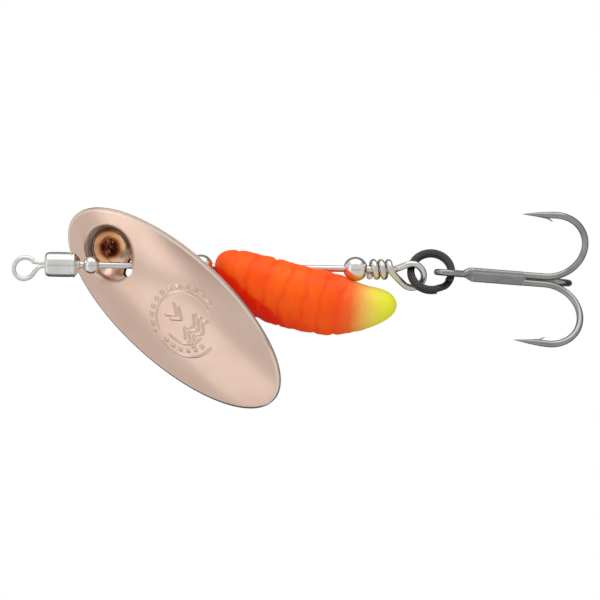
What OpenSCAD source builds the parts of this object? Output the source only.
// Inline spinner: a swivel line eye, a wire shaft, a through-holed spinning blade,
// bearing beads, a ribbed grub-shaped body and a treble hook on a split ring.
// Origin: centre of the line eye. +X runs along the shaft to the hook, +Z is up.

/* [Swivel] */
// Inner radius of the line eye
eye_r = 0.88; // [0.8:0.01:0.9]
// Diameter of the line eye's wire
eye_wire_d = 0.44; // [0.4:0.02:0.5]
// Height of the shaft's axis above the line eye's centre
wire_z = 0.43; // [0.3:0.01:0.5]
// Front end of the swivel barrel
barrel_x = 2.05; // [2:0.05:2.2]
// Length of the swivel barrel
barrel_len = 3.5; // [3.4:0.05:3.55]
// Outside radius of the swivel barrel
barrel_r = 1.25; // [1.1:0.05:1.3]

/* [Shaft wire] */
// Diameter of the shaft's wire
wire_d = 0.65; // [0.6:0.01:0.66]
// Where the first closing wrap stands on top of the shaft
wrap_x = 34.87; // [34.85:0.01:34.95]
// Distance from one closing wrap to the next
wrap_pitch = 0.75; // [0.74:0.01:0.76]
// Radius of the rear loop, to the middle of its wire
loop_r = 1.18; // [1.15:0.01:1.2]

/* [Beads] */
// Radius of the small front bead
front_bead_r = 0.87; // [0.8:0.01:0.9]
// Place of the front bead along the shaft
front_bead_x = 6.7; // [6.65:0.05:6.8]
// Radius of the bearing bead behind the blade
blade_bead_r = 1.2; // [1:0.01:1.2]
// Place of the bearing bead along the shaft
blade_bead_x = 17.65; // [17.5:0.05:17.7]
// Radius of the bead behind the body
rear_bead_r = 1.21; // [1.1:0.01:1.22]
// Place of the rear bead along the shaft
rear_bead_x = 33.1; // [33:0.05:33.1]
// Radial play of the beads and the body on the shaft
bore_play = 0.06; // [0.04:0.01:0.08]

/* [Blade] */
// Half of the blade's length
blade_a = 13.75; // [13.4:0.05:13.8]
// Half of the blade's width
blade_b = 6.65; // [6.4:0.05:6.8]
// Thickness of the blade's sheet
blade_t = 0.45; // [0.4:0.05:0.5]
// Height of the blade's dome
dome_h = 1.2; // [1:0.1:1.3]
// Angle of the blade's length below the shaft
blade_droop = 40.3; // [39:0.1:42]
// Lean of the blade about its length
blade_lean = 34; // [32:1:36]
// Lift of the blade's tail towards the viewer
blade_lift = 9; // [8:1:11]
// Depth of the stamped cup beside the hole
cup_depth = 1.4; // [1.2:0.1:1.5]
// Radius of the blade's hole
hole_r = 0.92; // [0.88:0.01:0.95]

/* [Body] */
// Largest radius of the grub body
grub_r = 3.35; // [3.2:0.05:3.4]
// Length of the grub body along the shaft
grub_len = 18.25; // [18.2:0.05:18.5]
// Depth of the grooves between the ribs
rib_depth = 0.16; // [0.1:0.02:0.2]

/* [Split ring] */
// Outside radius of the split ring
ring_r = 2.4; // [2.36:0.02:2.4]
// Width of the ring's flattened wire
ring_w = 0.74; // [0.6:0.02:0.74]
// Thickness of one coil of the ring
coil_t = 0.33; // [0.3:0.01:0.34]
// Lean of the ring's top away from the viewer
ring_lean = 25; // [22:1:26]

/* [Treble hook] */
// Diameter of the hook wire
hook_d = 0.7; // [0.65:0.01:0.71]
// Radius of the hook bends, to the middle of the wire
bend_r = 3.45; // [3.3:0.05:3.5]
// Length from the start of the brazing to the middle of the bends
bend_u = 7.58; // [7.5:0.02:7.7]
// Length of the brazed shank
braze_len = 5.6; // [5:0.1:5.8]
// Fall of the treble's shank below the shaft's line
treble_fall = 3.5; // [3:0.5:4]
// Turn of the treble's shank away from the viewer
treble_yaw = 10; // [8:1:12]

/* [Hidden] */

// Swivel
fit = 0.05;
eye_tube_r = eye_wire_d / 2;
eye_neck_x = 1.75;
neck_rise = 9;
stem_r = 0.42;
head_r = 0.68;
head_len = 0.5;
cavity_r = 0.85;
barrel_wall = 0.55;
barrel_mid = barrel_x + barrel_len / 2;
barrel_end = barrel_x + barrel_len;
head_gap = 0.15;
land_depth = 0.03;

// Shaft wire
wire_r = wire_d / 2;
wrap_r = wire_d + 0.07;
wrap_turns = 2.5;
tag_turn = -0.5;
loop_x = 38.75;
loop_z = -0.16;
loop_front = 0.62;
loop_back = 0.3;
joint_x = 33.3;
tube_sides = 12;

// Blade
blade_x = 14.97;
blade_z = -3.73;
blade_rings = 17;
blade_spokes = 60;
cup_s = -8.42;
cup_t = 0.36;
cup_r = 3.13;
cup_floor = 0.46;
hole_s = -5.75;
hole_t = 0.3;
hole_drop = 0.22;
hole_tool = 4;

// Body
grub_x = 19.02;
grub_tilt = 4;
grub_rings = 64;
grub_sides = 28;
rib_pitch = 1.88;
seat_play = 0.08;

// Split ring
ring_x = 40.66;
ring_z = 0.28;
ring_y = -0.03;
ring_mid_r = ring_r - ring_w / 2;
coil_gap = 0.03;
jog_angle = 35;
jog_start = -72;
ring_step = 9;

// Treble hook
hook_r = hook_d / 2;
treble_x = 44.66;
treble_z = 0.05;
treble_y = 0.3;
shank_r = hook_d / sqrt(3) + 0.016;
eye_u = -2.5;
eye_half = 0.97;
eye_wire_r = 0.31;
neck_half = 0.365;
point_len = 3.4;
point_turn = 3;
tip_r = 0.03;
barb_r = 0.15;
upper_angle = 117.5;
far_angle = 0;
lower_angle = 240;

function unit(v) = v / norm(v);
function clamp01(x) = min(1, max(0, x));
function smooth(x) = let(c = clamp01(x)) c * c * (3 - 2 * c);
function mix(a, b, k) = a + (b - a) * k;

// Direction of the path p at its point i.
function heading(p, i) = unit(p[min(i + 1, len(p) - 1)] - p[max(i - 1, 0)]);

// A side vector for each point of the path p, carried along so that the section does not spin.
function carried(p, first) = [
    for (i = 0, s = unit(cross(heading(p, 0), first));
         i < len(p);
         i = i + 1, s = i < len(p) ? unit(s - heading(p, i) * (s * heading(p, i))) : s) s];

// Faces of a skin over rings of n points each, closed at both ends.
function skin_faces(rings, n) = concat(
    [[for (j = [0:n - 1]) j]],
    [for (i = [0:rings - 2]) for (j = [0:n - 1]) [i * n + j, (i + 1) * n + j, i * n + (j + 1) % n]],
    [for (i = [0:rings - 2]) for (j = [0:n - 1])
        [i * n + (j + 1) % n, (i + 1) * n + j, (i + 1) * n + (j + 1) % n]],
    [[for (j = [n - 1:-1:0]) (rings - 1) * n + j]]);

// A round tube along the path p, with a radius for each point.
module tube(p, radii, first, n = tube_sides) {
    side = carried(p, first);
    pts = [for (i = [0:len(p) - 1]) let(h = heading(p, i), a = side[i], b = cross(h, a))
        for (j = [0:n - 1]) p[i] + radii[i] * (cos(j * 360 / n) * a + sin(j * 360 / n) * b)];
    polyhedron(pts, skin_faces(len(p), n), convexity = 6);
}

// Lies a shape that was drawn along +Z along the shaft, with its base at x.
module on_shaft(x) {
    translate([x, 0, wire_z]) rotate([0, 90, 0]) children();
}

// A turned bead with a bore, its two ends faced flat where the bore comes out.
module bead(x, r) {
    bore = wire_r + bore_play;
    flat = sqrt(r * r - pow(bore + 0.12, 2));
    on_shaft(x) difference() {
        sphere(r, $fn = 64);
        translate([0, 0, flat]) cylinder(h = r, r = r, $fn = 48);
        translate([0, 0, -flat - r]) cylinder(h = r, r = r, $fn = 48);
        translate([0, 0, -r - 1]) cylinder(h = 2 * r + 2, r = bore, $fn = 48);
    }
}

// Ring of wire with a narrow cylindrical land inside it, necked down to a headed stem.
module line_eye() {
    color("silver") {
        rotate([90, 0, 0]) difference() {
            union() {
                rotate_extrude($fn = 72) translate([eye_r + eye_tube_r - land_depth, 0])
                    circle(eye_tube_r, $fn = 32);
                rotate([0, 0, neck_rise]) translate([eye_r + eye_tube_r * 0.6, 0, 0])
                    rotate([0, 90, 0]) cylinder(h = eye_neck_x - eye_r, r = stem_r - 0.05, $fn = 40);
            }
            translate([0, 0, -2]) cylinder(h = 4, r = eye_r, $fn = 72);
        }
        on_shaft(eye_neck_x) cylinder(h = barrel_mid - head_gap - head_len / 2 - eye_neck_x, r = stem_r, $fn = 48);
        on_shaft(barrel_mid - head_gap - head_len) cylinder(h = head_len, r = head_r, $fn = 48);
    }
}

// Closed barrel whose two end holes hold the headed stems.
module swivel_barrel() {
    color("gainsboro") on_shaft(barrel_x) difference() {
        rotate_extrude($fn = 72) polygon([
            [0, 0], [barrel_r - 0.4, 0], [barrel_r - 0.15, 0.12], [barrel_r, 0.42],
            [barrel_r, barrel_len - 0.5], [barrel_r - 0.13, barrel_len], [0, barrel_len]]);
        translate([0, 0, barrel_wall])
            cylinder(h = barrel_len - 2 * barrel_wall, r = cavity_r, $fn = 64);
        translate([0, 0, -1]) cylinder(h = barrel_len, r = stem_r + fit, $fn = 48);
        translate([0, 0, barrel_len / 2]) cylinder(h = barrel_len, r = wire_r + fit, $fn = 48);
    }
}

// Middle of the wire from the last wrap round the rear loop and back to the shaft.
function wrap_point(turn) = let(a = 360 * turn)
    [wrap_x + wrap_pitch * turn, -wrap_r * sin(a), wire_z + wrap_r * cos(a)];
function loop_point(a) = let(k = smooth((a + 60) / 160))
    [loop_x + loop_r * cos(a), mix(loop_back, -loop_front, k), loop_z + loop_r * sin(a)];
function bezier(a, b, c, d, k) =
    a * pow(1 - k, 3) + b * 3 * k * pow(1 - k, 2) + c * 3 * k * k * (1 - k) + d * pow(k, 3);
wrap_end = wrap_point(wrap_turns - 0.25);
loop_low = loop_point(-125);
loop_high = loop_point(105);
shaft_turn = [wrap_x + 2.0, 0, wire_z];
shaft_route = concat(
    [for (k = [tag_turn:0.05:wrap_turns - 0.3]) wrap_point(k)],
    [for (k = [0:0.2:0.8]) bezier(wrap_end, wrap_end + [0.08, 0.02, -0.5],
        loop_low + [-0.35, -0.12, 0.3], loop_low, k)],
    [for (a = [-125:15:100]) loop_point(a)],
    [for (k = [0:0.2:0.8]) bezier(loop_high, loop_high + [-0.45, 0.02, -0.1],
        shaft_turn + [0.3, -0.01, 0.02], shaft_turn, k)],
    [for (x = [shaft_turn.x:-0.8:joint_x + 0.3]) [x, 0, wire_z]],
    [[joint_x, 0, wire_z], [joint_x - 0.3, 0, wire_z]]);

// One wire: headed in the barrel, straight through everything, looped and wrapped at the rear.
module shaft_wire() {
    count = len(shaft_route);
    color("lightgray") {
        on_shaft(barrel_mid + head_gap) cylinder(h = head_len, r = head_r, $fn = 48);
        on_shaft(barrel_mid + head_gap + head_len / 2)
            cylinder(h = joint_x - barrel_mid - head_gap - head_len / 2, r = wire_r, $fn = 48);
        tube(shaft_route, [for (i = [0:count - 1]) i > count - 3 ? wire_r * 0.8 : wire_r], [1, 0, 0]);
    }
}

module front_bead() {
    color("silver") bead(front_bead_x, front_bead_r);
}

module blade_bead() {
    color("silver") bead(blade_bead_x, blade_bead_r);
}

module rear_bead() {
    color("silver") bead(rear_bead_x, rear_bead_r);
}

// Blade axes: along its length, across it, and out of its domed face.
level_d = [cos(blade_droop), 0, -sin(blade_droop)];
level_t = [sin(blade_droop), 0, cos(blade_droop)];
level_n = [0, -1, 0];
blade_d = level_d * cos(blade_lift) + level_n * sin(blade_lift);
lifted_n = level_n * cos(blade_lift) - level_d * sin(blade_lift);
blade_w = level_t * cos(blade_lean) + lifted_n * sin(blade_lean);
blade_n = lifted_n * cos(blade_lean) - level_t * sin(blade_lean);

// Height of the blade's middle surface above its rim: a dome less a cup that reaches to the hole.
function cup(s, t) = 1 - smooth((norm([s - cup_s, t - cup_t]) / cup_r - cup_floor) / (1 - cup_floor));
function blade_h(s, t) =
    dome_h * (1 - pow(s / blade_a, 2) - pow(t / blade_b, 2)) - cup_depth * cup(s, t);
blade_y = -(hole_s * blade_d.y + hole_t * blade_w.y + blade_h(hole_s, hole_t) * blade_n.y);
blade_mid = [blade_x, blade_y, blade_z];
function on_blade(s, t, lift) = blade_mid + s * blade_d + t * blade_w + (blade_h(s, t) + lift) * blade_n;

// Points of one face of the blade: a centre, then rings of spokes out to the rim.
function blade_face(lift) = concat([on_blade(0, 0, lift)],
    [for (i = [1:blade_rings]) for (j = [0:blade_spokes - 1])
        let(k = i / blade_rings, a = j * 360 / blade_spokes)
        on_blade(blade_a * k * cos(a), blade_b * k * sin(a), lift)]);
function disc_index(i, j) = 1 + (i - 1) * blade_spokes + j % blade_spokes;
function disc_faces() = concat(
    [for (j = [0:blade_spokes - 1]) [0, disc_index(1, j), disc_index(1, j + 1)]],
    [for (i = [1:blade_rings - 1]) for (j = [0:blade_spokes - 1])
        [disc_index(i, j), disc_index(i + 1, j), disc_index(i + 1, j + 1)]],
    [for (i = [1:blade_rings - 1]) for (j = [0:blade_spokes - 1])
        [disc_index(i, j), disc_index(i + 1, j + 1), disc_index(i, j + 1)]]);

// Domed, cupped sheet with a round hole punched through the cup's rear wall.
module blade() {
    face_points = 1 + blade_rings * blade_spokes;
    rim = [for (j = [0:blade_spokes - 1]) disc_index(blade_rings, j)];
    next = [for (j = [0:blade_spokes - 1]) disc_index(blade_rings, j + 1)];
    upper = disc_faces();
    faces = concat(
        [for (f = upper) [f[0], f[2], f[1]]],
        [for (f = upper) [f[0] + face_points, f[1] + face_points, f[2] + face_points]],
        [for (j = [0:blade_spokes - 1]) [rim[j], next[j], rim[j] + face_points]],
        [for (j = [0:blade_spokes - 1]) [next[j], next[j] + face_points, rim[j] + face_points]]);
    hole = on_blade(hole_s, hole_t, 0);
    color("rosybrown") difference() {
        polyhedron(concat(blade_face(blade_t / 2), blade_face(-blade_t / 2)), faces, convexity = 6);
        translate([hole.x, hole.y, wire_z - hole_drop]) rotate([0, 0, 36]) rotate([0, 90, 0])
            cylinder(h = hole_tool, r = hole_r, center = true, $fn = 48);
    }
}

// Middle line and radius of the grub body at x millimetres behind its nose.
function grub_mid(x) = 0.56 - 4.87 * (1 - exp(-x / 8.5)) + 0.55 * smooth((x - 14) / 4.5);
function grub_nose(x) = sqrt(1 - pow(1 - clamp01(x / 9), 4));
function grub_tail(x) = let(
    s = (x - 11.55) / (grub_len - 11.55),
    rise = (s + sqrt(s * s + 0.02)) / 2)
    (1 - 0.6 * rise) * sqrt(max(0, 1 - pow(clamp01(s), 9)));
function grub_rib(x) = let(fade = smooth((x - 1) / 2) * (1 - smooth((x - 12.5) / 4)))
    rib_depth * fade * pow(cos(180 * (x - 2) / rib_pitch), 8);
function grub_radius(x) = max(0.02, grub_r * grub_nose(x) * grub_tail(x) - grub_rib(x));

// Ribbed, keeled body with a straight bore near its back and a seat for the rear bead.
module grub_body() {
    steps = [for (i = [0:grub_rings]) grub_len * (1 - cos(180 * i / grub_rings)) / 2];
    pts = [for (x = steps) for (j = [0:grub_sides - 1])
        let(r = grub_radius(x), y = -r * sin(j * 360 / grub_sides), v = r * cos(j * 360 / grub_sides))
        [grub_x + x + v * sin(grub_tilt), y, grub_mid(x) + v * cos(grub_tilt)]];
    color("orangered") difference() {
        polyhedron(pts, skin_faces(grub_rings + 1, grub_sides), convexity = 6);
        on_shaft(grub_x - 1) cylinder(h = grub_len, r = wire_r + bore_play, $fn = 48);
        on_shaft(rear_bead_x) sphere(rear_bead_r + seat_play, $fn = 64);
    }
}

// Two flat coils side by side, joined by one sideways jog; the cut ends stop at the jog.
module split_ring() {
    pitch = coil_t + coil_gap;
    angles = [for (a = [jog_angle + 4:ring_step:716]) a];
    n = 8;
    corner = 0.1;
    section = [for (p = [[1, 0], [1, 1], [0, 1], [-1, 1], [-1, 0], [-1, -1], [0, -1], [1, -1]])
        let(cut = abs(p.x) + abs(p.y) == 2 ? corner : 0)
        [p.x * (ring_w / 2 - cut), p.y * (coil_t / 2 - cut / 2)]];
    pts = [for (a = angles) let(
        side = (smooth((a - 360) / jog_angle) - 0.5) * pitch,
        turn = a + jog_start)
        for (q = section) let(r = ring_mid_r + q.x)
            [r * cos(turn), side + q.y, r * sin(turn)]];
    color("dimgray") translate([ring_x, ring_y, ring_z]) rotate([-ring_lean, 0, 0])
        polyhedron(pts, skin_faces(len(angles), n), convexity = 8);
}

// Treble frame: u runs down the shank from the start of the brazing.
module treble_frame() {
    translate([treble_x, treble_y, treble_z]) rotate([0, treble_fall, treble_yaw]) children();
}
function radial(angle) = [0, cos(angle), sin(angle)];

// Middle line of one hook from the start of the brazing to its point.
function hook_route(angle) = let(out = radial(angle), mid = shank_r + bend_r, top = 90 + point_turn)
    concat(
        [for (u = [0:bend_u / 5:bend_u * 0.99]) [u, 0, 0] + shank_r * out],
        [for (a = [-90:12:top]) [bend_u + bend_r * cos(a), 0, 0] + (mid + bend_r * sin(a)) * out],
        [for (k = [0.1:0.18:1]) let(d = point_len * k)
            [bend_u + bend_r * cos(top) - d * cos(point_turn), 0, 0]
            + (mid + bend_r * sin(top) - d * sin(point_turn)) * out]);
// The wire keeps its size round the bend and then tapers to the point.
function hook_radii(route) = let(n = len(route), taper = 6)
    [for (i = [0:n - 1]) i < n - taper ? hook_r : mix(hook_r, tip_r, pow((i - n + taper + 1) / taper, 1.3))];

// Sliver of a barb raised from the inside of the point, pointing back to the bend.
module barb(angle) {
    out = radial(angle);
    base = shank_r + 2 * bend_r - 0.06;
    tube([[bend_u - 1.8, 0, 0] + (base - 0.1) * out, [bend_u - 0.95, 0, 0] + (base - 0.28) * out,
        [bend_u - 0.35, 0, 0] + (base - 0.64) * out], [barb_r, barb_r * 0.8, tip_r], [1, 0, 0.01], 8);
}

// Middle of the neck wire from the shank (k = 0) to the widest part of the hook's eye (k = 1).
function neck_point(angle, side, k) = let(
    start = shank_r * radial(angle),
    half = mix(neck_half, eye_half, smooth((k - 0.15) / 0.85)),
    turn = smooth(k / 0.4))
    [eye_u * k, mix(start.y, side * half, turn), mix(start.z, 0, turn)];
far_route = hook_route(far_angle);
upper_route = hook_route(upper_angle);
neck_steps = [0.12:0.11:0.9];
double_route = concat(
    [for (i = [len(far_route) - 1:-1:0]) far_route[i]],
    [for (k = neck_steps) neck_point(far_angle, 1, k)],
    [for (a = [90:15:270]) [eye_u + eye_half * cos(a), eye_half * sin(a), 0]],
    [for (i = [7:-1:0]) neck_point(upper_angle, -1, 0.12 + 0.11 * i)],
    upper_route);
double_radii = let(radii = hook_radii(far_route), n = len(radii), inner = len(double_route) - 2 * n)
    concat([for (i = [n - 1:-1:0]) radii[i]],
        [for (i = [0:inner - 1]) mix(hook_r - 0.01, eye_wire_r, sin(180 * i / (inner - 1)))], radii);

// One wire bent into two hooks, with the eye in its middle.
module double_hook() {
    color("slategray") treble_frame() {
        tube(double_route, double_radii, [1, 0.2, 0.1], 10);
        barb(far_angle);
        barb(upper_angle);
    }
}

// The third hook, brazed into the groove between the first two.
module single_hook() {
    route = hook_route(lower_angle);
    color("slategray") treble_frame() {
        tube(route, hook_radii(route), radial(lower_angle + 90), 10);
        barb(lower_angle);
    }
}

// Brazing metal that fills the grooves between the three shanks.
module hook_braze() {
    side = shank_r * 1.7;
    color("gray") treble_frame() rotate([90, 0, 90]) difference() {
        linear_extrude(braze_len) intersection() {
            rotate(60) circle(side * 1.12, $fn = 3);
            circle(shank_r + hook_r * 0.62, $fn = 48);
        }
        for (angle = [far_angle, upper_angle, lower_angle])
            rotate(angle) translate([shank_r, 0, -1]) cylinder(h = braze_len + 2, r = hook_r + 0.005, $fn = 40);
    }
}

line_eye();
swivel_barrel();
shaft_wire();
front_bead();
blade();
blade_bead();
grub_body();
rear_bead();
split_ring();
double_hook();
single_hook();
hook_braze();
